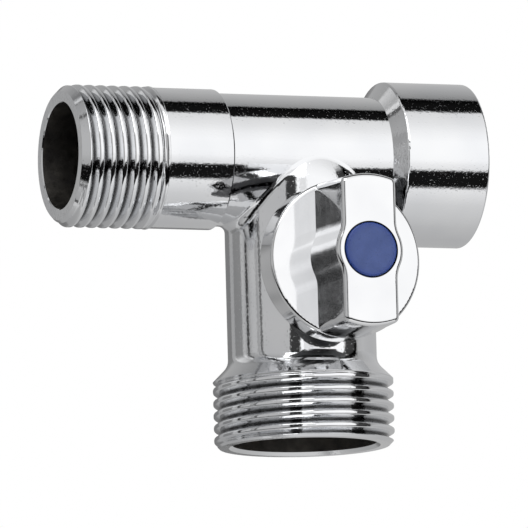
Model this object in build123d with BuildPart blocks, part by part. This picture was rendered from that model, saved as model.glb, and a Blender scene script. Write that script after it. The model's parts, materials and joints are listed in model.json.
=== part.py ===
from build123d import *
import os
from math import cos, radians, sin, sqrt, tan

# Tee-pattern quarter-turn ball valve, in millimetres. The water way runs straight from a male inlet on the left, -X,
# to a female socket on the right, +X. A valved branch hangs below it and ends in a male outlet, whose end face holds
# the origin. +Z points up along the branch, and the knob faces -Y.

# Run: the straight tube from inlet to socket
run_bore = 15.6
run_wall = 1.95
inlet_reach = 37.0  # branch axis to inlet face
socket_reach = 25.7  # branch axis to socket face

# Male inlet, pipe thread 1/2, at the crest of the thread
inlet_thread_diameter = 20.955
inlet_thread_length = 13.4
inlet_lead = 1.05
inlet_mouth_edge = 0.15
collar_diameter = 20.6
collar_length = 10.1
collar_edge = 0.25

# Female socket, pipe thread 1/2, at the crest of the thread
socket_bore = 18.631
socket_bore_depth = 12.0
socket_wall = 2.75
socket_length = 12.7
shoulder_length = 1.75
shoulder_sink = 0.2  # shoulder's foot below the tube's wall
shoulder_edge = 0.45
socket_edge = 0.35
mouth_chamfer = 0.5

# Ball and its two seats
ball_diameter = 16.8
port_diameter = 10.0
port_edge = 0.35
ball_clearance = 0.3  # ball to chamber wall
seat_inset = 0.7  # ball's side to seat's rim
seat_lip = 0.3  # flat rim of the seat's face
seat_land = 0.7  # seat's bore behind the ball
seat_bore_margin = 0.1
seat_gap = 0.03  # ball to seat
seat_fit = 0.02  # seat to pocket

# Branch and male outlet, pipe thread 3/4, at the crest of the thread
branch_wall = 1.5
port_floor = 1.6  # body left between run bore and upper seat
branch_dome_drop = 5.6  # run axis to the foot of the dome that ends the branch
branch_root = 1.3  # fillet where branch meets run
outlet_thread_diameter = 26.441
outlet_thread_length = 9.7
outlet_lead = 0.75
outlet_wall = 2.62  # at the crest of the thread
flare_root = 2.4

# Retainer that screws up the branch under the lower seat
retainer_step = 0.7  # chamber wall to retainer thread
retainer_clearance = 0.05
retainer_floor = 1.4
retainer_edge = 0.4
hexagon_across_flats = 12.0
hexagon_depth = 3.2
retainer_rise = 1.1795  # top of the flare to retainer
retainer_relief = 0.5  # bore left plain below the retainer

# Stem, with its head inside the branch
stem_diameter = 7.0
stem_clearance = 0.05
stem_edge = 0.3
tang_thickness = 3.0
tang_clearance = 0.06
tang_tip_gap = 0.15
slot_floor = 0.9  # ball left between port and slot
head_diameter = 9.2
head_thickness = 1.4
head_clearance = 0.1
square_across_flats = 5.2
square_clearance = 0.04
square_end_gap = 0.2
thrust_washer_thickness = 0.9
thrust_washer_gap = 0.02

# Rubber rings
ring_section = 1.2
ring_gap = 0.015
groove_width = 1.6
groove_land = 0.53

# Boss and nose that carry the stem
boss_diameter = 15.8
boss_wall = 1.9  # thrust washer to boss face
boss_root = 1.0
boss_edge = 0.4
nose_wall = 2.2
nose_edge = 0.3

# Quarter-turn stop: half a ring on the boss and a quarter of a ring in the knob
stop_height = 1.6
stop_width = 1.6
stop_play = 0.15
stop_clearance = 0.5

# Knob
knob_diameter = 23.2
knob_gap = 0.4  # boss to knob
knob_edge = 0.5
face_thickness = 1.5
nose_end_gap = 0.5
skirt_wall = 2.6
bar_width = 8.4
bar_height = 10.1
bar_inset = 0.05  # disc's rim to bar's end
bar_corner = 1.3
bar_edge = 0.75
bar_draft = 2.0  # degrees
hub_diameter = 10.3
hub_root = 4.5

# Screw, split washer and cap in the hub
screw_diameter = 3.0
screw_length = 7.2
screw_clearance = 0.12
screw_tip_gap = 0.4
screw_head_diameter = 5.5
screw_head_height = 2.0
screw_slot_width = 0.9
screw_slot_depth = 1.0
screw_edge = 0.25
hub_floor = 1.2
lock_washer_outer = 6.2
lock_washer_thickness = 0.8
lock_washer_split = 0.7
cap_diameter = 7.9
cap_rim_gap = 0.2  # cap's rim to hub
cap_clearance = 0.06  # spigot to hub
cap_seat = 1.0
cap_proud = 0.2
cap_edge = 0.3
cap_spigot_wall = 0.7
cap_spigot_length = 0.9
cap_spigot_step = 0.35
cap_lift = 0.02
cap_head_gap = 0.2

# Radii worked out from the sizes above
run_radius = run_bore / 2 + run_wall
socket_radius = socket_bore / 2 + socket_wall
inlet_radius = inlet_thread_diameter / 2
outlet_radius = outlet_thread_diameter / 2
outlet_bore_radius = outlet_radius - outlet_wall
ball_radius = ball_diameter / 2
port_radius = port_diameter / 2
chamber_radius = ball_radius + ball_clearance
retainer_bore_radius = chamber_radius + retainer_step
retainer_radius = retainer_bore_radius - retainer_clearance
branch_radius = retainer_bore_radius + branch_wall
seat_radius = ball_radius - seat_inset
seat_pocket_radius = seat_radius + seat_fit
seat_bore_radius = port_radius + seat_bore_margin
seat_sphere = ball_radius + seat_gap
stem_radius = stem_diameter / 2
stem_bore_radius = stem_radius + stem_clearance
head_radius = head_diameter / 2
head_pocket_radius = head_radius + head_clearance
nose_radius = stem_bore_radius + nose_wall
knob_radius = knob_diameter / 2
cavity_radius = knob_radius - skirt_wall
cap_seat_radius = cap_diameter / 2 + cap_rim_gap
recess_radius = cap_seat_radius - cap_spigot_step

# Distances from the ball's centre along the branch
seat_face = sqrt(seat_sphere**2 - (seat_radius - seat_lip) ** 2)
seat_back = sqrt(seat_sphere**2 - seat_bore_radius**2) + seat_land
retainer_reach = seat_back + retainer_floor + hexagon_depth

# Heights above the outlet face
flare_top = outlet_thread_length + outlet_radius - branch_radius
retainer_tail = flare_top + retainer_rise
throat_height = retainer_tail - retainer_relief
valve_height = retainer_tail + retainer_reach
run_height = valve_height + seat_back + seat_fit + port_floor + run_bore / 2
dome_height = run_height - branch_dome_drop

# Distances from the branch axis towards the knob
slot_depth = port_radius + slot_floor
head_start = retainer_bore_radius + head_clearance
head_end = head_start + head_thickness
gland_start = head_end + thrust_washer_thickness + thrust_washer_gap
gland_end = gland_start + 2 * groove_width + 3 * groove_land
boss_front = gland_start + boss_wall
knob_back = boss_front + knob_gap
knob_floor = gland_end + nose_end_gap
knob_face = knob_floor + face_thickness
bar_front = knob_face + bar_height
cap_floor = bar_front - cap_seat
screw_seat = (
    cap_floor
    - cap_spigot_length
    - cap_head_gap
    - screw_head_height
    - lock_washer_thickness
)
square_end = screw_seat - hub_floor
stem_end = square_end - square_end_gap
stem_shoulder = knob_floor - stem_clearance

# Places along the run
collar_start = -inlet_reach + inlet_thread_length
collar_end = collar_start + collar_length
socket_start = socket_reach - socket_length
shoulder_start = socket_start - shoulder_length
socket_floor = socket_reach - socket_bore_depth

run_plane = Plane(origin=(0, 0, run_height), x_dir=(1, 0, 0), z_dir=(0, -1, 0))
run_axis = Axis((0, 0, run_height), (1, 0, 0))
stem_plane = Plane(origin=(0, 0, valve_height), x_dir=(1, 0, 0), z_dir=(0, -1, 0))

os.makedirs("parts", exist_ok=True)


def write(piece, name):
    piece.part.label = name
    export_step(piece.part, f"parts/{name}.step")


# Body: one forging with its bores
with BuildPart() as body:
    with BuildSketch(run_plane):
        with BuildLine():
            Polyline(
                (collar_start, 0),
                (collar_start, run_radius),
                (socket_start, run_radius),
                (socket_start, 0),
                close=True,
            )
        make_face()
    revolve(axis=run_axis)

    with BuildSketch(Plane.XZ):
        with BuildLine():
            FilletPolyline(
                (0, 0),
                (outlet_radius - outlet_lead, 0),
                (outlet_radius, outlet_lead),
                (outlet_radius, outlet_thread_length),
                (branch_radius, flare_top),
                (branch_radius, dome_height),
                radius=[0, 0, 0, flare_root],
            )
            ThreePointArc(
                (branch_radius, dome_height),
                (branch_radius * cos(radians(45)), dome_height + branch_radius * sin(radians(45))),
                (0, dome_height + branch_radius),
            )
            Line((0, dome_height + branch_radius), (0, 0))
        make_face()
    revolve(axis=Axis.Z)
    fillet(body.edges(Select.NEW), branch_root)

    with BuildSketch(stem_plane):
        Circle(boss_diameter / 2)
    extrude(amount=boss_front)
    fillet(body.edges(Select.NEW), boss_root)
    boss_rim = body.edges().filter_by(GeomType.CIRCLE).sort_by(Axis.Y)[0]
    fillet(boss_rim, boss_edge)

    with BuildSketch(run_plane):
        with BuildLine():
            Polyline(
                (-inlet_reach, 0),
                (-inlet_reach, inlet_radius - inlet_lead),
                (-inlet_reach + inlet_lead, inlet_radius),
                (collar_start, inlet_radius),
                (collar_start, collar_diameter / 2),
                (collar_end - collar_edge, collar_diameter / 2),
                (collar_end, collar_diameter / 2 - collar_edge),
                (collar_end, 0),
                close=True,
            )
        make_face()
        with BuildLine():
            FilletPolyline(
                (shoulder_start, 0),
                (shoulder_start, run_radius - shoulder_sink),
                (socket_start, socket_radius),
                (socket_reach, socket_radius),
                (socket_reach, 0),
                radius=[0, 0, shoulder_edge, socket_edge, 0],
                close=True,
            )
        make_face()
    revolve(axis=run_axis)

    with BuildSketch(stem_plane.offset(boss_front)):
        Circle(nose_radius)
    extrude(amount=gland_end - boss_front)
    nose_rim = body.edges().filter_by(GeomType.CIRCLE).sort_by(Axis.Y)[0]
    chamfer(nose_rim, nose_edge)

    with BuildSketch(stem_plane.offset(boss_front)):
        Circle(nose_radius + stop_width)
        Circle(nose_radius, mode=Mode.SUBTRACT)
        with Locations((0, stop_play)):
            Rectangle(
                knob_diameter,
                knob_radius,
                align=(Align.CENTER, Align.MIN),
                mode=Mode.INTERSECT,
            )
    extrude(amount=stop_height)

    with BuildSketch(run_plane):
        with BuildLine():
            Polyline(
                (-inlet_reach, 0),
                (-inlet_reach, run_bore / 2 + inlet_mouth_edge),
                (-inlet_reach + inlet_mouth_edge, run_bore / 2),
                (socket_floor, run_bore / 2),
                (socket_floor, socket_bore / 2),
                (socket_reach - mouth_chamfer, socket_bore / 2),
                (socket_reach, socket_bore / 2 + mouth_chamfer),
                (socket_reach, 0),
                close=True,
            )
        make_face()
    revolve(axis=run_axis, mode=Mode.SUBTRACT)

    with BuildSketch(Plane.XZ):
        with BuildLine():
            Polyline(
                (0, 0),
                (outlet_bore_radius + mouth_chamfer, 0),
                (outlet_bore_radius, mouth_chamfer),
                (outlet_bore_radius, throat_height - outlet_bore_radius + retainer_bore_radius),
                (retainer_bore_radius, throat_height),
                (retainer_bore_radius, valve_height - seat_face),
                (chamber_radius, valve_height - seat_face),
                (chamber_radius, valve_height + seat_face),
                (seat_pocket_radius, valve_height + seat_face),
                (seat_pocket_radius, valve_height + seat_back + seat_fit),
                (port_radius, valve_height + seat_back + seat_fit),
                (port_radius, run_height),
                (0, run_height),
                close=True,
            )
        make_face()
    revolve(axis=Axis.Z, mode=Mode.SUBTRACT)

    with BuildSketch(stem_plane.offset(seat_pocket_radius + seat_lip)):
        Circle(head_pocket_radius)
    extrude(amount=gland_start - seat_pocket_radius - seat_lip, mode=Mode.SUBTRACT)
    with BuildSketch(stem_plane.offset(gland_start)):
        Circle(stem_bore_radius)
    extrude(amount=gland_end - gland_start, mode=Mode.SUBTRACT)
write(body, "body")

# Ball: a straight port, and a slot across its front for the stem's tang
with BuildPart() as ball:
    with Locations((0, 0, valve_height)):
        Sphere(ball_radius)
        Cylinder(port_radius, ball_diameter, mode=Mode.SUBTRACT)
    chamfer(ball.edges().filter_by(GeomType.CIRCLE), port_edge)
    with BuildSketch(stem_plane.offset(slot_depth)):
        Rectangle(ball_diameter, tang_thickness + 2 * tang_clearance)
    extrude(amount=ball_radius - slot_depth, mode=Mode.SUBTRACT)
write(ball, "ball")

# Seats: one above the ball in the body, one below it in the retainer, each hollowed to the ball
for seat_name, side in (("upper_seat", 1), ("lower_seat", -1)):
    with BuildPart() as seat:
        with BuildSketch(stem_plane):
            with BuildLine():
                Polyline(
                    (seat_bore_radius, 0),
                    (seat_radius, 0),
                    (seat_radius, side * seat_back),
                    (seat_bore_radius, side * seat_back),
                    close=True,
                )
            make_face()
            with BuildLine():
                Polyline(
                    (0, 0),
                    (seat_radius, 0),
                    (seat_radius, side * seat_face),
                    (0, side * seat_face),
                    close=True,
                )
            make_face(mode=Mode.SUBTRACT)
            Circle(seat_sphere, mode=Mode.SUBTRACT)
        revolve(axis=Axis.Z)
    write(seat, seat_name)

# Retainer: a threaded ring with a pocket for the lower seat, a groove for its rubber ring and a hexagon socket
retainer_top = valve_height - seat_face - seat_fit
pocket_floor = valve_height - seat_back - seat_fit
socket_top = pocket_floor - retainer_floor
ring_height = pocket_floor - groove_land - groove_width / 2
groove_radius = retainer_bore_radius - ring_section
with BuildPart() as seat_retainer:
    with BuildSketch(Plane.XZ):
        with BuildLine():
            Polyline(
                (port_radius, retainer_tail),
                (retainer_radius - retainer_edge, retainer_tail),
                (retainer_radius, retainer_tail + retainer_edge),
                (retainer_radius, ring_height - groove_width / 2),
                (groove_radius, ring_height - groove_width / 2),
                (groove_radius, ring_height + groove_width / 2),
                (retainer_radius, ring_height + groove_width / 2),
                (retainer_radius, retainer_top - retainer_edge),
                (retainer_radius - retainer_edge, retainer_top),
                (seat_pocket_radius, retainer_top),
                (seat_pocket_radius, pocket_floor),
                (port_radius, pocket_floor),
                close=True,
            )
        make_face()
    revolve(axis=Axis.Z)
    with BuildSketch(Plane.XY.offset(retainer_tail)):
        RegularPolygon(hexagon_across_flats / 2, 6, major_radius=False)
    extrude(amount=socket_top - retainer_tail, mode=Mode.SUBTRACT)
write(seat_retainer, "seat_retainer")

ring_radius = ring_section / 2 - ring_gap
with BuildPart() as retainer_o_ring:
    with Locations((0, 0, ring_height)):
        Torus(retainer_bore_radius - ring_section / 2, ring_radius)
write(retainer_o_ring, "retainer_o_ring")

# Stem: tang, head, shaft with two grooves, and a square for the knob, drilled for the screw
stem_groove_radius = stem_bore_radius - ring_section
groove_middles = [gland_start + groove_land + groove_width / 2]
groove_middles.append(groove_middles[0] + groove_width + groove_land)
with BuildPart() as stem:
    with BuildSketch(stem_plane.offset(slot_depth + tang_tip_gap)):
        Circle(stem_radius)
        Rectangle(stem_diameter, tang_thickness, mode=Mode.INTERSECT)
    extrude(amount=head_start - slot_depth - tang_tip_gap)
    with BuildSketch(stem_plane.offset(head_start)):
        Circle(head_radius)
    extrude(amount=head_thickness)
    with BuildSketch(stem_plane.offset(head_end)):
        Circle(stem_radius)
    extrude(amount=stem_shoulder - head_end)
    with BuildSketch(stem_plane.offset(stem_shoulder)):
        Circle(stem_radius)
        Rectangle(square_across_flats, square_across_flats, mode=Mode.INTERSECT)
    extrude(amount=stem_end - stem_shoulder)
    chamfer(stem.faces().sort_by(Axis.Y)[0].edges(), stem_edge)
    for middle in groove_middles:
        with BuildSketch(stem_plane.offset(middle - groove_width / 2)):
            Circle(stem_radius)
            Circle(stem_groove_radius, mode=Mode.SUBTRACT)
        extrude(amount=groove_width, mode=Mode.SUBTRACT)
    with BuildSketch(stem_plane.offset(stem_end)):
        Circle(screw_diameter / 2 + screw_clearance)
    extrude(
        amount=stem_end - screw_seat - lock_washer_thickness + screw_length + screw_tip_gap,
        dir=(0, 1, 0),
        mode=Mode.SUBTRACT,
    )
write(stem, "stem")

with BuildPart() as thrust_washer:
    with BuildSketch(stem_plane.offset(head_end)):
        Circle(head_radius)
        Circle(stem_bore_radius, mode=Mode.SUBTRACT)
    extrude(amount=thrust_washer_thickness)
write(thrust_washer, "thrust_washer")

for ring_name, middle in zip(("inner_stem_o_ring", "outer_stem_o_ring"), groove_middles):
    with BuildPart() as stem_o_ring:
        with Locations(stem_plane.offset(middle)):
            Torus(stem_bore_radius - ring_section / 2, ring_radius)
    write(stem_o_ring, ring_name)

# Knob: a skirted disc with a grip bar across it, hollow behind for the nose and the stop
with BuildPart() as knob:
    with BuildSketch(stem_plane.offset(knob_back)):
        Circle(knob_radius)
    extrude(amount=knob_face - knob_back)
    fillet(knob.edges().sort_by(Axis.Y)[0], knob_edge)

    bar_spread = (bar_height + knob_edge) * tan(radians(bar_draft))
    hub_foot = hub_diameter / 2 + bar_spread
    with BuildSketch(stem_plane.offset(knob_face - knob_edge)) as bar_outline:
        Circle(knob_radius - bar_inset)
        Rectangle(bar_width + 2 * bar_spread, knob_diameter, mode=Mode.INTERSECT)
        fillet(bar_outline.vertices(), bar_corner)
        Circle(hub_foot)
        hub_corners = bar_outline.vertices().filter_by_position(Axis.Y, -hub_foot, hub_foot)
        fillet(hub_corners, hub_root)
    extrude(amount=bar_height + knob_edge, taper=bar_draft)
    fillet(knob.faces().sort_by(Axis.Y)[0].edges(), bar_edge)

    with BuildSketch(stem_plane.offset(knob_back)):
        Circle(cavity_radius)
    extrude(amount=knob_floor - knob_back, mode=Mode.SUBTRACT)
    with BuildSketch(stem_plane.offset(knob_floor)):
        Circle(cavity_radius)
        Circle(nose_radius + stop_clearance, mode=Mode.SUBTRACT)
        with Locations((stop_play, -stop_play)):
            Rectangle(
                knob_radius,
                knob_radius,
                align=(Align.MIN, Align.MAX),
                mode=Mode.INTERSECT,
            )
    extrude(amount=knob_floor - knob_back - stop_clearance, dir=(0, 1, 0))

    with BuildSketch(stem_plane.offset(knob_floor)):
        Circle(stem_radius + square_clearance)
        square_socket = square_across_flats + 2 * square_clearance
        Rectangle(square_socket, square_socket, mode=Mode.INTERSECT)
    extrude(amount=square_end - knob_floor, mode=Mode.SUBTRACT)
    with BuildSketch(stem_plane.offset(square_end)):
        Circle(screw_diameter / 2 + screw_clearance)
    extrude(amount=hub_floor, mode=Mode.SUBTRACT)
    with BuildSketch(stem_plane.offset(screw_seat)):
        Circle(recess_radius)
    extrude(amount=cap_floor - screw_seat, mode=Mode.SUBTRACT)
    with BuildSketch(stem_plane.offset(cap_floor)):
        Circle(cap_seat_radius)
    extrude(amount=cap_seat, mode=Mode.SUBTRACT)
write(knob, "knob")

# Screw, its split washer and the cap that hides them
with BuildPart() as lock_washer:
    with BuildSketch(stem_plane.offset(screw_seat)):
        Circle(lock_washer_outer / 2)
        Circle(screw_diameter / 2 + screw_clearance, mode=Mode.SUBTRACT)
        Rectangle(
            lock_washer_outer,
            lock_washer_split,
            align=(Align.MIN, Align.CENTER),
            mode=Mode.SUBTRACT,
        )
    extrude(amount=lock_washer_thickness)
write(lock_washer, "lock_washer")

head_under = screw_seat + lock_washer_thickness
with BuildPart() as knob_screw:
    with BuildSketch(stem_plane.offset(head_under)):
        Circle(screw_diameter / 2)
    extrude(amount=screw_length, dir=(0, 1, 0))
    with BuildSketch(stem_plane.offset(head_under)):
        Circle(screw_head_diameter / 2)
    extrude(amount=screw_head_height)
    fillet(knob_screw.edges().sort_by(Axis.Y)[0], screw_edge)
    with BuildSketch(stem_plane.offset(head_under + screw_head_height)):
        Rectangle(screw_head_diameter, screw_slot_width)
    extrude(amount=screw_slot_depth, dir=(0, 1, 0), mode=Mode.SUBTRACT)
write(knob_screw, "knob_screw")

with BuildPart() as index_cap:
    with BuildSketch(stem_plane.offset(cap_floor + cap_lift)):
        Circle(cap_diameter / 2)
    extrude(amount=cap_seat + cap_proud)
    fillet(index_cap.edges().sort_by(Axis.Y)[0], cap_edge)
    with BuildSketch(stem_plane.offset(cap_floor + cap_lift)):
        Circle(recess_radius - cap_clearance)
        Circle(recess_radius - cap_clearance - cap_spigot_wall, mode=Mode.SUBTRACT)
    extrude(amount=cap_spigot_length + cap_lift, dir=(0, 1, 0))
write(index_cap, "index_cap")
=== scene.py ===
import json
from collections import namedtuple
from math import cos, pi, radians, sin

import bpy
import numpy as np
from mathutils import Matrix, Vector


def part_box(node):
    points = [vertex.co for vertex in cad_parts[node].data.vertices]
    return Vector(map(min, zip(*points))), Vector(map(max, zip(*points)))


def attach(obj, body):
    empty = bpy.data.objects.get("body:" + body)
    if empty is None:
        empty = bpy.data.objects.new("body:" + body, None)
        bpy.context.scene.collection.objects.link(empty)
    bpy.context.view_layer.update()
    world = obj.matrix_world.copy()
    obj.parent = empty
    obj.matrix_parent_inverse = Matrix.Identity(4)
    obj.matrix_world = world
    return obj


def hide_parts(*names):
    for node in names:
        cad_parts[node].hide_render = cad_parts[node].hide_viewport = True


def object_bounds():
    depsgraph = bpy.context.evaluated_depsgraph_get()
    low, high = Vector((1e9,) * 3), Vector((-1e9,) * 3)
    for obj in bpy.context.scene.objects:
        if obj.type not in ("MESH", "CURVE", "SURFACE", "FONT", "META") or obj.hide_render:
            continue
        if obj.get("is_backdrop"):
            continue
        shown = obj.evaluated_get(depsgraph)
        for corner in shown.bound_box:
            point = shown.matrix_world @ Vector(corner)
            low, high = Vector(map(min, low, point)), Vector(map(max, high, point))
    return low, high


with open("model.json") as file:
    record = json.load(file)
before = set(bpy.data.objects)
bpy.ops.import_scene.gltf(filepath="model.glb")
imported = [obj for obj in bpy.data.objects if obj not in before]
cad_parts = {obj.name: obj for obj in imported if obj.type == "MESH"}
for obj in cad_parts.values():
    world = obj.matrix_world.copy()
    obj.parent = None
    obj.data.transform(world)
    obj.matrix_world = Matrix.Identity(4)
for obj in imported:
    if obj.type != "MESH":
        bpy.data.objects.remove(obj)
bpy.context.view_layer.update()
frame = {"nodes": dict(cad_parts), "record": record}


# Body: one hot-forged brass piece, turned, bored and threaded at all three ends, then chrome plated over
# nickel. Everything else is carried by it. The deep bores are dull and rough; they and the roots of the
# threads are also painted dark, as painted shade.
MM = 0.001
mounts = {mount["name"]: mount for mount in frame["record"]["mounts"]}
body_low, body_high = (np.array(corner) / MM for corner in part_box("body"))
run_height = mounts["inlet_thread"]["pos_m"][2] / MM
inlet_crest = mounts["inlet_thread"]["dims"]["r_mm"]
socket_crest = mounts["socket_thread"]["dims"]["r_mm"]
outlet_crest = mounts["outlet_thread"]["dims"]["r_mm"]
collar_start = mounts["inlet_thread"]["pos_m"][0] / MM + mounts["inlet_thread"]["dims"]["length_mm"]
INLET_LEAD = 1.05
INLET_WEAR = 0.05
SOCKET_DEPTH = 12.0
SOCKET_CHAMFER = 0.5
OUTLET_LEAD = 0.75
OUTLET_LENGTH = 9.7
RUN_BORE_RADIUS = 7.8
OUTLET_BORE_RADIUS = 10.6005
CHAMBER_TOP = 31.0

# Pipe thread of 14 turns to the inch, with broad crests, as cut on a forging, and narrow rounded roots
THREAD_PITCH = 25.4 / 14
THREAD_DEPTH = 1.05
THREAD_FLANK = 1.5
CREST_SHARE = 0.3
THREAD_ROUNDING = 6.0
RINGS_PER_PITCH = 16
Thread = namedtuple("Thread", "axis start end crest side spokes phase fade_in fade_out")
inlet_thread = Thread(
    axis="run",
    start=(body_low[0], inlet_crest - INLET_LEAD),
    end=(collar_start, inlet_crest),
    crest=inlet_crest - INLET_WEAR,
    side=-1,
    spokes=128,
    phase=0.65,
    fade_in=0.7,
    fade_out=2.4,
)
socket_thread = Thread(
    axis="run",
    start=(body_high[0] - SOCKET_DEPTH, socket_crest),
    end=(body_high[0], socket_crest + SOCKET_CHAMFER),
    crest=socket_crest,
    side=1,
    spokes=112,
    phase=0.40,
    fade_in=0.7,
    fade_out=0.7,
)
outlet_thread = Thread(
    axis="branch",
    start=(0.0, outlet_crest - OUTLET_LEAD),
    end=(OUTLET_LENGTH, outlet_crest),
    crest=outlet_crest,
    side=-1,
    spokes=160,
    phase=0.18,
    fade_in=0.7,
    fade_out=0.7,
)
THREADS = (inlet_thread, socket_thread, outlet_thread)


def around(points, axis):
    """Place along a water way, distance from its axis and angle around it."""
    if axis == "run":
        along, across, over = points[..., 0], points[..., 1], points[..., 2] - run_height
    else:
        along, across, over = points[..., 2], points[..., 0], points[..., 1]
    return along, np.hypot(across, over), np.arctan2(over, across)


def place_around(along, radius, angle, axis):
    """The point at that place along a water way, distance from its axis and angle around it."""
    across = radius * np.cos(angle)
    over = radius * np.sin(angle)
    if axis == "run":
        return np.stack([along, across, over + run_height], -1)
    return np.stack([across, over, along], -1)


def thread_wall(along, angle, thread):
    """Radius of the wall, and how deep the groove is there as a share of the full depth."""
    turns = along / THREAD_PITCH - angle / (2 * pi) - thread.phase
    saw = THREAD_FLANK * (4 * np.abs(turns - np.floor(turns) - 0.5) - 1 + CREST_SHARE)
    wave = saw / (1 + np.abs(saw) ** THREAD_ROUNDING) ** (1 / THREAD_ROUNDING)
    groove = THREAD_DEPTH * (1 - wave / np.abs(wave).max()) / 2
    rise = np.clip((along - thread.start[0]) / thread.fade_in, 0, 1)
    fall = np.clip((thread.end[0] - along) / thread.fade_out, 0, 1)
    groove = groove * np.minimum(rise, fall)
    lead_in = thread.start[1] - thread.side * (along - thread.start[0])
    lead_out = thread.end[1] - thread.side * (thread.end[0] - along)
    if thread.side < 0:
        blank = np.minimum(thread.crest, lead_in)
        radius = np.minimum(thread.crest - groove, lead_in)
    else:
        blank = np.maximum(thread.crest, lead_out)
        radius = np.maximum(thread.crest + groove, lead_out)
    return radius, np.abs(blank - radius) / THREAD_DEPTH


def zip_rings(ring_a, angles_a, ring_b, angles_b):
    """Triangles between two rings of vertices round the same axis, each sorted by angle."""
    faces = []
    count_a, count_b = len(ring_a), len(ring_b)
    ahead_a = np.append(angles_a[1:], angles_a[0] + 2 * pi)
    ahead_b = np.append(angles_b[1:], angles_b[0] + 2 * pi)
    i = j = 0
    while i < count_a or j < count_b:
        a, b = ring_a[i % count_a], ring_b[j % count_b]
        if j == count_b or (i < count_a and ahead_a[i] <= ahead_b[j]):
            i += 1
            faces.append((a, ring_a[i % count_a], b))
        else:
            j += 1
            faces.append((a, ring_b[j % count_b], b))
    return np.array(faces)


cad_body = frame["nodes"]["body"].data
cad_points = np.empty(3 * len(cad_body.vertices))
cad_body.vertices.foreach_get("co", cad_points)
cad_points = cad_points.reshape(-1, 3) / MM
cad_faces = np.empty(len(cad_body.loops), dtype=np.int64)
cad_body.loops.foreach_get("vertex_index", cad_faces)
cad_faces = cad_faces.reshape(-1, 3)
cad_normals = np.empty(3 * len(cad_body.loops))
cad_body.corner_normals.foreach_get("vector", cad_normals)
cad_normals = cad_normals.reshape(-1, 3, 3)
cad_centres = cad_points[cad_faces].mean(1)

# The plain walls at the crests of the threads make way for threaded ones
NEAR = 0.01
kept = np.ones(len(cad_faces), dtype=bool)
for thread in THREADS:
    radius = around(cad_points, thread.axis)[1]
    radii = (thread.start[1], thread.end[1], thread.crest)
    on_wall = (radius > min(radii) - NEAR) & (radius < max(radii) + NEAR)
    middle = around(cad_centres, thread.axis)[0]
    between_ends = (middle > thread.start[0] + NEAR / 5) & (middle < thread.end[0] - NEAR / 5)
    kept &= ~(on_wall[cad_faces].all(1) & between_ends)
cad_faces = cad_faces[kept]
in_use = np.zeros(len(cad_points), dtype=bool)
in_use[cad_faces.ravel()] = True

# Faces of the bores, which take the dull finish with a very dark colour as painted shade
centres = cad_centres[kept]
in_run = around(centres, "run")[1] < RUN_BORE_RADIUS + 2 * NEAR
in_branch = around(centres, "branch")[1] < OUTLET_BORE_RADIUS + 2 * NEAR
in_branch &= (centres[:, 2] > 2 * NEAR) & (centres[:, 2] < CHAMBER_TOP)

body_points = [cad_points]
body_faces = [cad_faces]
body_normals = [cad_normals[kept]]
body_slots = [(in_run | in_branch).astype(int)]
groove_depths = [np.zeros(len(cad_points))]
SLOPE_STEP = 1e-4

for thread in THREADS:
    rings = round((thread.end[0] - thread.start[0]) / THREAD_PITCH * RINGS_PER_PITCH)
    places = thread.start[0] + (thread.end[0] - thread.start[0]) * (np.arange(rings) + 0.5) / rings
    angles = 2 * pi * (np.arange(thread.spokes) + 0.5) / thread.spokes - pi
    along, angle = np.meshgrid(places, angles, indexing="ij")
    radius, depth = thread_wall(along, angle, thread)
    after = thread_wall(along + SLOPE_STEP, angle, thread)[0]
    before = thread_wall(along - SLOPE_STEP, angle, thread)[0]
    slope = (after - before) / (2 * SLOPE_STEP)
    lean = place_around(-slope, np.ones_like(angle), angle, thread.axis)
    lean -= place_around(0.0, 0.0, 0.0, thread.axis)
    lean *= -thread.side / np.linalg.norm(lean, axis=-1, keepdims=True)

    first = sum(len(points) for points in body_points)
    ids = first + np.arange(rings * thread.spokes).reshape(rings, thread.spokes)
    beside = np.roll(ids, -1, axis=1)
    faces = [
        np.stack([ids[:-1], beside[:-1], beside[1:]], -1).reshape(-1, 3),
        np.stack([ids[:-1], beside[1:], ids[1:]], -1).reshape(-1, 3),
    ]
    cad_along, cad_radius, cad_angle = around(cad_points, thread.axis)
    for circle, ring in ((thread.start, ids[0]), (thread.end, ids[-1])):
        on_circle = np.abs(cad_along - circle[0]) < NEAR / 3
        on_circle &= np.abs(cad_radius - circle[1]) < NEAR / 3
        found = np.flatnonzero(on_circle & in_use)
        found = found[np.unique(cad_angle[found].round(4) % round(2 * pi, 4), return_index=True)[1]]
        found = found[np.argsort(cad_angle[found])]
        if circle is thread.start:
            faces.append(zip_rings(found, cad_angle[found], ring, angles))
        else:
            faces.append(zip_rings(ring, angles, found, cad_angle[found]))
    faces = np.concatenate(faces)
    if thread.side > 0:
        faces = faces[:, ::-1]

    body_points.append(place_around(along, radius, angle, thread.axis).reshape(-1, 3))
    corners = np.concatenate(body_points)[faces]
    flat = np.cross(corners[:, 1] - corners[:, 0], corners[:, 2] - corners[:, 0])
    flat /= np.maximum(np.linalg.norm(flat, axis=-1, keepdims=True), 1e-12)
    on_grid = faces >= first
    grid_normals = lean.reshape(-1, 3)[np.where(on_grid, faces - first, 0)]
    body_faces.append(faces)
    body_normals.append(np.where(on_grid[..., None], grid_normals, flat[:, None]))
    body_slots.append(np.zeros(len(faces), dtype=int))
    groove_depths.append(depth.ravel())

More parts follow.
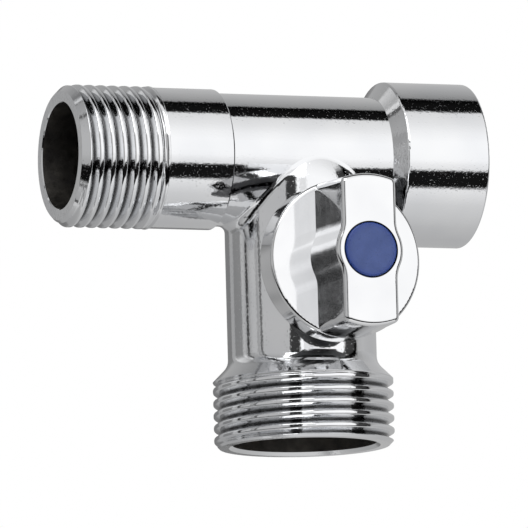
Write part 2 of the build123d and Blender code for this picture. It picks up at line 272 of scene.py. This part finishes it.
body_faces = np.concatenate(body_faces)
body_mesh = bpy.data.meshes.new("body_threaded")
body_mesh.from_pydata((np.concatenate(body_points) * MM).tolist(), [], body_faces.tolist())
body_mesh.polygons.foreach_set("material_index", np.concatenate(body_slots))
body_mesh.polygons.foreach_set("use_smooth", np.ones(len(body_faces), dtype=bool))
body_mesh.normals_split_custom_set(np.concatenate(body_normals).reshape(-1, 3).tolist())
groove_attribute = body_mesh.attributes.new("groove", "FLOAT", "POINT")
groove_attribute.data.foreach_set("value", np.concatenate(groove_depths).astype(np.float32))
body = bpy.data.objects.new("body_threaded", body_mesh)
bpy.context.scene.collection.objects.link(body)


def new_material(name):
    """A node material with a Principled shader, and the object's own coordinates in millimetres."""
    material = bpy.data.materials.new(name)
    material.use_nodes = True
    tree = material.node_tree
    shader = tree.nodes["Principled BSDF"]
    place = tree.nodes.new("ShaderNodeTexCoord")
    scale = tree.nodes.new("ShaderNodeVectorMath")
    scale.operation = "SCALE"
    scale.inputs["Scale"].default_value = 1 / MM
    tree.links.new(place.outputs["Object"], scale.inputs[0])
    return material, tree, shader, scale.outputs["Vector"]


def noise(tree, place, size, detail=2.0, stretch=None):
    """Noise with features about size millimetres wide, drawn out along an axis if stretch is given."""
    if stretch:
        drawn = tree.nodes.new("ShaderNodeMapping")
        drawn.inputs["Scale"].default_value = stretch
        tree.links.new(place, drawn.inputs["Vector"])
        place = drawn.outputs["Vector"]
    node = tree.nodes.new("ShaderNodeTexNoise")
    node.inputs["Scale"].default_value = 1 / size
    node.inputs["Detail"].default_value = detail
    tree.links.new(place, node.inputs["Vector"])
    return node.outputs["Fac"]


def ramp(tree, value, stops, target=None):
    """Turns a value into a colour or a grey by the stops, each a place and a colour or a level."""
    node = tree.nodes.new("ShaderNodeValToRGB")
    while len(node.color_ramp.elements) < len(stops):
        node.color_ramp.elements.new(0.5)
    for element, (where, level) in zip(node.color_ramp.elements, stops):
        element.position = where
        element.color = (*level, 1) if isinstance(level, tuple) else (level, level, level, 1)
    tree.links.new(value, node.inputs["Fac"])
    if target:
        tree.links.new(node.outputs["Color"], target)
    return node.outputs["Color"]


def shade(tree, colour, darkening, target):
    """Multiplies a colour by another before it reaches the target."""
    node = tree.nodes.new("ShaderNodeMix")
    node.data_type = "RGBA"
    node.blend_type = "MULTIPLY"
    node.inputs[0].default_value = 1.0
    tree.links.new(colour, node.inputs[6])
    tree.links.new(darkening, node.inputs[7])
    tree.links.new(node.outputs[2], target)


def relief(tree, value, depth, shader, under=None):
    """Bump of that depth in millimetres, on top of another bump if one is given."""
    node = tree.nodes.new("ShaderNodeBump")
    node.inputs["Strength"].default_value = 1.0
    node.inputs["Distance"].default_value = depth * MM
    tree.links.new(value, node.inputs["Height"])
    if under:
        tree.links.new(under.outputs["Normal"], node.inputs["Normal"])
    tree.links.new(node.outputs["Normal"], shader.inputs["Normal"])
    return node


chrome, tree, shader, place = new_material("chrome_plate")
shader.inputs["Metallic"].default_value = 1.0
plating = ramp(tree, noise(tree, place, 9.0), ((0.3, (0.80, 0.81, 0.83)), (0.7, (0.87, 0.875, 0.885))))
groove = tree.nodes.new("ShaderNodeAttribute")
groove.attribute_name = "groove"
# Painted shade: the chrome's colour is darkened towards the roots of the threads, down to 0.08 at the
# bottom
groove_shade = ramp(tree, groove.outputs["Fac"], ((0.0, 1.0), (0.55, 0.94), (0.82, 0.40), (0.95, 0.08)))
shade(tree, plating, groove_shade, shader.inputs["Base Color"])
ramp(tree, noise(tree, place, 1.4, 4.0), ((0.35, 0.035), (0.75, 0.08)), shader.inputs["Roughness"])
waves = relief(tree, noise(tree, place, 4.0, 1.0), 0.010, shader)
grain = relief(tree, noise(tree, place, 0.4, 3.0), 0.0070, shader, waves)
pits = ramp(tree, noise(tree, place, 0.3, 1.0), ((0.66, 0.0), (0.74, 1.0)))
relief(tree, pits, 0.005, shader, grain)

# Dull bore: rough metal, and its colour painted very dark as painted shade in the deep bores
bore_dull_and_shade, tree, shader, place = new_material("dull_shaded_bore")
shader.inputs["Metallic"].default_value = 1.0
ramp(
    tree,
    noise(tree, place, 2.5, 4.0),
    ((0.35, (0.080, 0.077, 0.074)), (0.7, (0.165, 0.155, 0.140))),
    shader.inputs["Base Color"],
)
ramp(tree, noise(tree, place, 0.8, 3.0), ((0.3, 0.42), (0.7, 0.6)), shader.inputs["Roughness"])
relief(tree, noise(tree, place, 0.4, 3.0), 0.012, shader)

body_mesh.materials.append(chrome)
body_mesh.materials.append(bore_dull_and_shade)
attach(body, "valve_body")
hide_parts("body")


# Seats and thrust washer: turned from white PTFE bar. The seats hold the ball from above and below, and the
# washer lies under the stem's head, so none of them is fixed by more than the pieces around it.
ptfe, tree, shader, place = new_material("seat_plastic")
ramp(
    tree,
    noise(tree, place, 1.6, 3.0),
    ((0.3, (0.80, 0.80, 0.77)), (0.7, (0.88, 0.88, 0.86))),
    shader.inputs["Base Color"],
)
ramp(tree, noise(tree, place, 0.5, 3.0), ((0.3, 0.30), (0.7, 0.42)), shader.inputs["Roughness"])
shader.inputs["Subsurface Weight"].default_value = 0.15
shader.inputs["Subsurface Radius"].default_value = (0.0006, 0.0006, 0.0006)
relief(tree, noise(tree, place, 0.3, 2.0), 0.004, shader)


def dress(name, material):
    """Gives a CAD node its material and the slot that it is repainted by."""
    node = frame["nodes"][name]
    node.data.materials.clear()
    node.data.materials.append(material)


dress("upper_seat", ptfe)
dress("lower_seat", ptfe)
dress("thrust_washer", ptfe)


# Ball: brass, turned and drilled, ground round, polished and hard chromed so that it slides on the seats.
# The stem's tang sits in its slot and turns it.
ball_finish, tree, shader, place = new_material("ball_chrome")
shader.inputs["Metallic"].default_value = 1.0
ramp(
    tree,
    noise(tree, place, 6.0),
    ((0.3, (0.74, 0.75, 0.77)), (0.7, (0.82, 0.825, 0.835))),
    shader.inputs["Base Color"],
)
LAPPING = (0.2, 1.0, 1.0)
ramp(tree, noise(tree, place, 0.9, 4.0, LAPPING), ((0.35, 0.06), (0.75, 0.15)), shader.inputs["Roughness"])
relief(tree, noise(tree, place, 0.2, 2.0), 0.0008, shader)
dress("ball", ball_finish)


# Retainer and stem: turned from brass bar and left bare. The retainer is screwed up the outlet with a
# hexagon key, and the stem is put in from inside before it, so that water pressure can't push it out.
brass, tree, shader, place = new_material("bare_brass")
shader.inputs["Metallic"].default_value = 1.0
ramp(
    tree,
    noise(tree, place, 3.0, 3.0),
    ((0.3, (0.62, 0.45, 0.19)), (0.7, (0.74, 0.56, 0.27))),
    shader.inputs["Base Color"],
)
ramp(tree, noise(tree, place, 0.7, 4.0), ((0.3, 0.22), (0.7, 0.38)), shader.inputs["Roughness"])
relief(tree, noise(tree, place, 0.16, 2.0), 0.004, shader)
dress("seat_retainer", brass)
dress("stem", brass)


# Rubber rings: moulded nitrile, one on the retainer and two in the stem's grooves, held by their squeeze.
# They are oiled before they go in, which leaves them a little glossy.
rubber, tree, shader, place = new_material("black_rubber")
ramp(
    tree,
    noise(tree, place, 1.2, 3.0),
    ((0.3, (0.012, 0.012, 0.013)), (0.7, (0.030, 0.030, 0.031))),
    shader.inputs["Base Color"],
)
ramp(tree, noise(tree, place, 0.4, 3.0), ((0.3, 0.42), (0.7, 0.58)), shader.inputs["Roughness"])
relief(tree, noise(tree, place, 0.2, 2.0), 0.006, shader)
dress("retainer_o_ring", rubber)
dress("inner_stem_o_ring", rubber)
dress("outer_stem_o_ring", rubber)


# Knob: die-cast zinc, polished and chrome plated. It sits on the stem's square, and its grip bar lies along
# the branch when the valve is open. The ring round the cap's seat is painted near black as painted shade,
# and the hollow back is left bare and dull, and is painted dark as painted shade as well.
cap_low, cap_high = (np.array(corner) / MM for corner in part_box("index_cap"))
cap_centre = (cap_low + cap_high) / 2
cap_radius = (cap_high[0] - cap_low[0]) / 2
knob_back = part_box("knob")[1][1] / MM
CAP_RIM_GAP = 0.2
HOLLOW_RADIUS = 9.0
HOLLOW_DEPTH = 3.0
MASK_EDGE = 0.02
# Levels of the painted shade: near black in the cap's seat, and a fifth on the hollow back
SEAT_SHADE_LEVEL = 0.02
HOLLOW_SHADE_LEVEL = 0.20
HOLLOW_ROUGHNESS = 0.35


def maths(tree, operation, first, second):
    """Joins two values, each a number or a socket, by an operation of the Math node."""
    node = tree.nodes.new("ShaderNodeMath")
    node.operation = operation
    for socket, value in zip(node.inputs, (first, second)):
        if isinstance(value, (int, float)):
            socket.default_value = value
        else:
            tree.links.new(value, socket)
    return node.outputs[0]


def past(tree, value, edge, soft):
    """0 below the edge and 1 above it, with a soft change between."""
    node = tree.nodes.new("ShaderNodeMapRange")
    node.interpolation_type = "SMOOTHSTEP"
    node.inputs["From Min"].default_value = edge - soft
    node.inputs["From Max"].default_value = edge + soft
    tree.links.new(value, node.inputs["Value"])
    return node.outputs["Result"]


def about_stem(tree, place):
    """Distance from the stem's axis, and place along it towards the body, in millimetres."""
    across = tree.nodes.new("ShaderNodeVectorMath")
    across.operation = "MULTIPLY_ADD"
    across.inputs[1].default_value = (1, 0, 1)
    across.inputs[2].default_value = (-cap_centre[0], 0, -cap_centre[2])
    tree.links.new(place, across.inputs[0])
    distance = tree.nodes.new("ShaderNodeVectorMath")
    distance.operation = "LENGTH"
    tree.links.new(across.outputs["Vector"], distance.inputs[0])
    split = tree.nodes.new("ShaderNodeSeparateXYZ")
    tree.links.new(place, split.inputs["Vector"])
    return distance.outputs["Value"], split.outputs["Y"]


knob_finish, tree, shader, place = new_material("knob_chrome")
shader.inputs["Metallic"].default_value = 1.0
plating = ramp(tree, noise(tree, place, 7.0), ((0.3, (0.82, 0.825, 0.84)), (0.7, (0.88, 0.885, 0.895))))
distance, along_stem = about_stem(tree, place)
off_seat = past(tree, distance, cap_radius + CAP_RIM_GAP + MASK_EDGE, MASK_EDGE)
off_hollow = past(tree, distance, HOLLOW_RADIUS + 2 * MASK_EDGE, MASK_EDGE)
behind_floor = past(tree, along_stem, knob_back - HOLLOW_DEPTH - 2 * MASK_EDGE, MASK_EDGE)
at_back = past(tree, along_stem, knob_back - 2 * MASK_EDGE, MASK_EDGE)
bare_and_shaded = maths(tree, "MAXIMUM", at_back, maths(tree, "SUBTRACT", behind_floor, off_hollow))
# Painted shade: a near black ring round the cap's seat, and the bare hollow back darkened as well
seat_shade = ramp(tree, off_seat, ((0.0, SEAT_SHADE_LEVEL), (1.0, 1.0)))
back_shade = ramp(tree, bare_and_shaded, ((0.0, 1.0), (1.0, HOLLOW_SHADE_LEVEL)))
shade(tree, plating, maths(tree, "MULTIPLY", seat_shade, back_shade), shader.inputs["Base Color"])
polish = ramp(tree, noise(tree, place, 1.2, 3.0), ((0.3, 0.055), (0.7, 0.085)))
dullness = maths(tree, "MULTIPLY", bare_and_shaded, HOLLOW_ROUGHNESS)
tree.links.new(maths(tree, "ADD", polish, dullness), shader.inputs["Roughness"])
waves = relief(tree, noise(tree, place, 5.0, 1.0), 0.012, shader)
relief(tree, noise(tree, place, 0.3, 2.0), 0.0006, shader, waves)
dress("knob", knob_finish)


# Screw and split washer: steel, zinc plated. They clamp the knob on the stem and are hidden by the cap.
# The screw is driven with a plain slot.
zinc, tree, shader, place = new_material("zinc_steel")
shader.inputs["Metallic"].default_value = 1.0
ramp(
    tree,
    noise(tree, place, 1.0, 3.0),
    ((0.3, (0.50, 0.52, 0.54)), (0.7, (0.62, 0.63, 0.63))),
    shader.inputs["Base Color"],
)
ramp(tree, noise(tree, place, 0.4, 4.0), ((0.3, 0.25), (0.7, 0.42)), shader.inputs["Roughness"])
relief(tree, noise(tree, place, 0.15, 2.0), 0.003, shader)
dress("knob_screw", zinc)
dress("lock_washer", zinc)


# Index cap: moulded in blue plastic, glossy with a faint flow texture, and pressed into the end of the
# knob's hub. Its colour is painted darker towards its rounded rim, as painted shade.
blue, tree, shader, place = new_material("blue_plastic")
pigment = ramp(
    tree,
    noise(tree, place, 2.2, 3.0),
    ((0.3, (0.0475, 0.0886, 0.283)), (0.7, (0.067, 0.1125, 0.335))),
)
RIM_WIDTH = 1.1
distance, _ = about_stem(tree, place)
near_rim = past(tree, distance, cap_radius - RIM_WIDTH / 2, RIM_WIDTH / 2)
# Painted shade: the blue is darkened towards the rounded rim
rim_shade = ramp(tree, near_rim, ((0.0, (1.0, 1.0, 1.0)), (1.0, (0.50, 0.66, 0.95))))
shade(tree, pigment, rim_shade, shader.inputs["Base Color"])
ramp(tree, noise(tree, place, 0.6, 3.0), ((0.3, 0.26), (0.7, 0.36)), shader.inputs["Roughness"])
relief(tree, noise(tree, place, 0.35, 2.0), 0.004, shader)
dress("index_cap", blue)


# Studio: a white surround, a pale floor that shows from above and keeps the object's shadow, a square tent
# of thin cloth and one large soft lamp. The tent lets the white through in front and overhead, with dark
# gaps between its panels, as chrome needs. The camera looks past it.
world = bpy.data.worlds.new("studio")
bpy.context.scene.world = world
world.use_nodes = True
surround = world.node_tree.nodes["Background"]
surround.inputs["Color"].default_value = (1, 1, 1, 1)
surround.inputs["Strength"].default_value = 1.0

FLOOR_REACH = 3.0
SQUARE = ((-1, -1), (1, -1), (1, 1), (-1, 1))
floor_corners = [(FLOOR_REACH * x, FLOOR_REACH * y, 0) for x, y in SQUARE]
floor_mesh = bpy.data.meshes.new("floor")
floor_mesh.from_pydata(floor_corners, [], [(0, 1, 2, 3)])
floor = bpy.data.objects.new("floor", floor_mesh)
bpy.context.scene.collection.objects.link(floor)
floor.visible_glossy = False
floor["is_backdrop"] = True
floor_paint, tree, shader, place = new_material("floor_paint")
ramp(tree, noise(tree, place, 40.0), ((0.3, 0.89), (0.7, 0.91)), shader.inputs["Base Color"])
shader.inputs["Roughness"].default_value = 0.9
side_seen = tree.nodes.new("ShaderNodeNewGeometry")
clear = tree.nodes.new("ShaderNodeBsdfTransparent")
one_sided = tree.nodes.new("ShaderNodeMixShader")
tree.links.new(side_seen.outputs["Backfacing"], one_sided.inputs["Fac"])
tree.links.new(shader.outputs["BSDF"], one_sided.inputs[1])
tree.links.new(clear.outputs["BSDF"], one_sided.inputs[2])
tree.links.new(one_sided.outputs["Shader"], tree.nodes["Material Output"].inputs["Surface"])
floor_mesh.materials.append(floor_paint)

VIEW_TURN = -21.03
TENT_REACH = 5.0
TENT_HEIGHT = 0.03
tent_corners = [(TENT_REACH * x, TENT_REACH * y, TENT_REACH * z) for z in (-1, 1) for x, y in SQUARE]
tent_sides = [(0, 1, 5, 4), (1, 2, 6, 5), (2, 3, 7, 6), (3, 0, 4, 7), (4, 5, 6, 7), (3, 2, 1, 0)]
tent_mesh = bpy.data.meshes.new("light_tent")
tent_mesh.from_pydata(tent_corners, [], tent_sides)
tent = bpy.data.objects.new("light_tent", tent_mesh)
tent.location = (0, 0, TENT_HEIGHT)
tent.rotation_euler = (0, 0, radians(VIEW_TURN))
bpy.context.scene.collection.objects.link(tent)
tent.visible_camera = False
tent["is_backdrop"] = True
tent_cloth, tree, shader, place = new_material("tent_cloth")
tent_mesh.materials.append(tent_cloth)
tree.nodes.remove(shader)
way = tree.nodes.new("ShaderNodeVectorMath")
way.operation = "NORMALIZE"
parts = tree.nodes.new("ShaderNodeSeparateXYZ")
tree.links.new(place, way.inputs[0])
tree.links.new(way.outputs["Vector"], parts.inputs["Vector"])


def between(tree, angle, low, high, soft):
    """1 where an angle lies between low and high degrees, with soft edges."""
    rise = past(tree, angle, radians(low), radians(soft))
    fall = past(tree, angle, radians(high), radians(soft))
    return maths(tree, "SUBTRACT", rise, fall)


to_front = maths(tree, "MULTIPLY", parts.outputs["Y"], -1.0)
over_and_under = maths(tree, "ARCTAN2", parts.outputs["Z"], to_front)
round_about = maths(tree, "ARCTAN2", parts.outputs["X"], to_front)
elevation = maths(tree, "ARCSINE", parts.outputs["Z"], 0.0)

# How much of the white the cloth lets through from front to back, over the top and underneath, in degrees
# from the front. Above 1 it is lit as well.
CLOTH_LEVELS = (
    (-180, 0.46),
    (-140, 0.48),
    (-112, 0.54),
    (-92, 0.64),
    (-75, 0.70),
    (-50, 0.90),
    (-46, 0.008),
    (-20, 0.008),
    (-17, 0.88),
    (-8, 0.98),
    (0, 1.10),
    (10, 1.12),
    (32, 1.12),
    (48, 1.04),
    (64, 0.90),
    (82, 0.80),
    (94, 0.78),
    (104, 0.26),
    (118, 0.38),
    (135, 0.47),
    (160, 0.53),
    (180, 0.46),
)
share = maths(tree, "ADD", maths(tree, "DIVIDE", over_and_under, 2 * pi), 0.5)
cloth_level = ramp(tree, share, [((angle + 180) / 360, level) for angle, level in CLOTH_LEVELS])

# Panels and gaps round the horizon: from and to in degrees, softness, lowest and highest elevation, level
PANELS = (
    (-94, -19, 1.5, -14, 60, 0.46),
    (-94, -19, 1.5, -75, -14, 0.60),
    (-181, -104, 1.5, -70, 60, 0.80),
    (-181, -140, 2.0, -14, 22, 0.55),
    (-127, -105, 2.0, -14, 22, 0.62),
    (-130, -97, 3.0, 15, 44, 1.90),
    (-73, -68.5, 1.0, -10, 30, 0.72),
    (-67, -63, 1.0, -50, 50, 0.28),
    (-94, -89, 1.0, -50, 50, 0.25),
    (-19, -2.5, 1.0, -45, 35, 0.04),
    (3, 14, 1.5, -8, 30, 0.78),
    (70, 94, 1.5, -35, 35, 0.05),
)
PANEL_SOFT = 5.0

# Gap in the tent's roof, in degrees from the front, which ends short of the left side
ROOF_GAP = (82.5, 106.5)
ROOF_GAP_SOFT = 1.5
ROOF_GAP_LEFT = -0.28
ROOF_GAP_LEFT_SOFT = 0.05
ROOF_GAP_LEVEL = 0.008
roof_gap = maths(
    tree,
    "MULTIPLY",
    between(tree, over_and_under, *ROOF_GAP, ROOF_GAP_SOFT),
    past(tree, parts.outputs["X"], ROOF_GAP_LEFT, ROOF_GAP_LEFT_SOFT),
)
panel_level = maths(tree, "SUBTRACT", 1.0, maths(tree, "MULTIPLY", roof_gap, 1 - ROOF_GAP_LEVEL))
for low, high, soft, bottom, top, level in PANELS:
    across = between(tree, round_about, low, high, soft)
    upright = between(tree, elevation, bottom, top, PANEL_SOFT)
    patch = maths(tree, "MULTIPLY", across, upright)
    left_over = maths(tree, "SUBTRACT", 1.0, maths(tree, "MULTIPLY", patch, 1 - level))
    panel_level = maths(tree, "MULTIPLY", panel_level, left_over)
cloth = tree.nodes.new("ShaderNodeBsdfTransparent")
shade(tree, cloth_level, panel_level, cloth.inputs["Color"])
tree.links.new(cloth.outputs["BSDF"], tree.nodes["Material Output"].inputs["Surface"])

LAMP_POWER = 1.2
LAMP_SIZE = 0.5
LAMP_PLACE = Vector((-0.25, -0.45, 0.6))
LAMP_AIM = Vector((0, 0, 0.03))
lamp_data = bpy.data.lights.new("soft_lamp", "AREA")
lamp_data.energy = LAMP_POWER
lamp_data.size = LAMP_SIZE
lamp = bpy.data.objects.new("soft_lamp", lamp_data)
lamp.location = LAMP_PLACE
lamp.rotation_euler = (LAMP_AIM - LAMP_PLACE).to_track_quat("-Z", "Y").to_euler()
bpy.context.scene.collection.objects.link(lamp)


# Camera: a long lens from the left and a little below, so that the open ends of the inlet and the outlet
# show. The point where the run and the branch cross is held at its place in the frame.
TURN = radians(VIEW_TURN)
RISE = radians(-7.74)
ROLL = radians(-1.54)
PIXELS_PER_MM = 6.82
FRAME_PIXELS = 528
CROSSING_SEEN = (297.0, 162.2)
DISTANCE = 2000.0
back = Vector((sin(TURN) * cos(RISE), -cos(TURN) * cos(RISE), sin(RISE)))
level_right = Vector((cos(TURN), sin(TURN), 0))
level_up = back.cross(level_right)
right = cos(ROLL) * level_right + sin(ROLL) * level_up
up = -sin(ROLL) * level_right + cos(ROLL) * level_up
aim = Vector((0, 0, run_height))
aim += (FRAME_PIXELS / 2 - CROSSING_SEEN[0]) / PIXELS_PER_MM * right
aim += (CROSSING_SEEN[1] - FRAME_PIXELS / 2) / PIXELS_PER_MM * up
camera_data = bpy.data.cameras.new("camera")
camera_data.sensor_width = 36.0
camera_data.lens = PIXELS_PER_MM * DISTANCE * camera_data.sensor_width / FRAME_PIXELS
camera_data.clip_start = 0.1
camera_data.clip_end = 20.0
camera = bpy.data.objects.new("camera", camera_data)
bpy.context.scene.collection.objects.link(camera)
facing = Matrix((right, up, back)).transposed().to_4x4()
camera.matrix_world = Matrix.Translation((aim + DISTANCE * back) * MM) @ facing
bpy.context.scene.camera = camera
bpy.context.scene.view_settings.view_transform = "Standard"

low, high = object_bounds()
